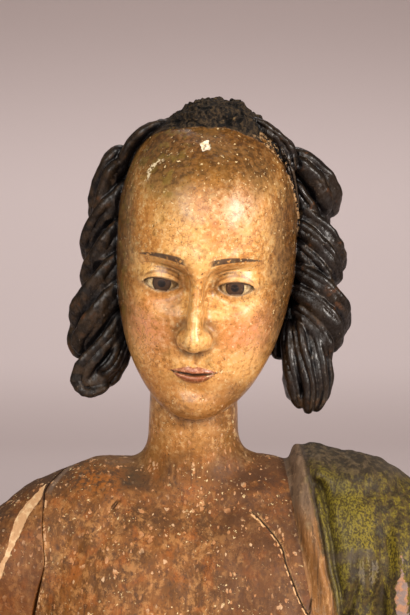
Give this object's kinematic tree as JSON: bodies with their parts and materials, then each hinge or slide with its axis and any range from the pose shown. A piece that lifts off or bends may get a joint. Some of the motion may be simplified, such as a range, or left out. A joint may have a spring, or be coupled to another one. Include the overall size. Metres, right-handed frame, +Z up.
{
  "type": "carved saint bust",
  "caption": "Carved and painted wooden bust of a young saint, head bowed between dark rope-like locks, chest bare, a worn green mantle over the left shoulder, cut flat below.",
  "frame": {"origin": "on the flat underside, below the middle of the chest", "axes": "+Z up, the figure faces -Y, its left shoulder with the mantle is towards +X"},
  "size_m": [0.2822, 0.1352, 0.31],
  "materials": {
    "painted_figure": "aged paint and varnish over carved wood",
    "painted_arm": "aged flesh paint over carved wood, worn along the joint"
  },
  "bodies": {
    "root": {"carved_figure": "painted_figure", "right_arm_block": "painted_arm"}
  },
  "joints": []
}
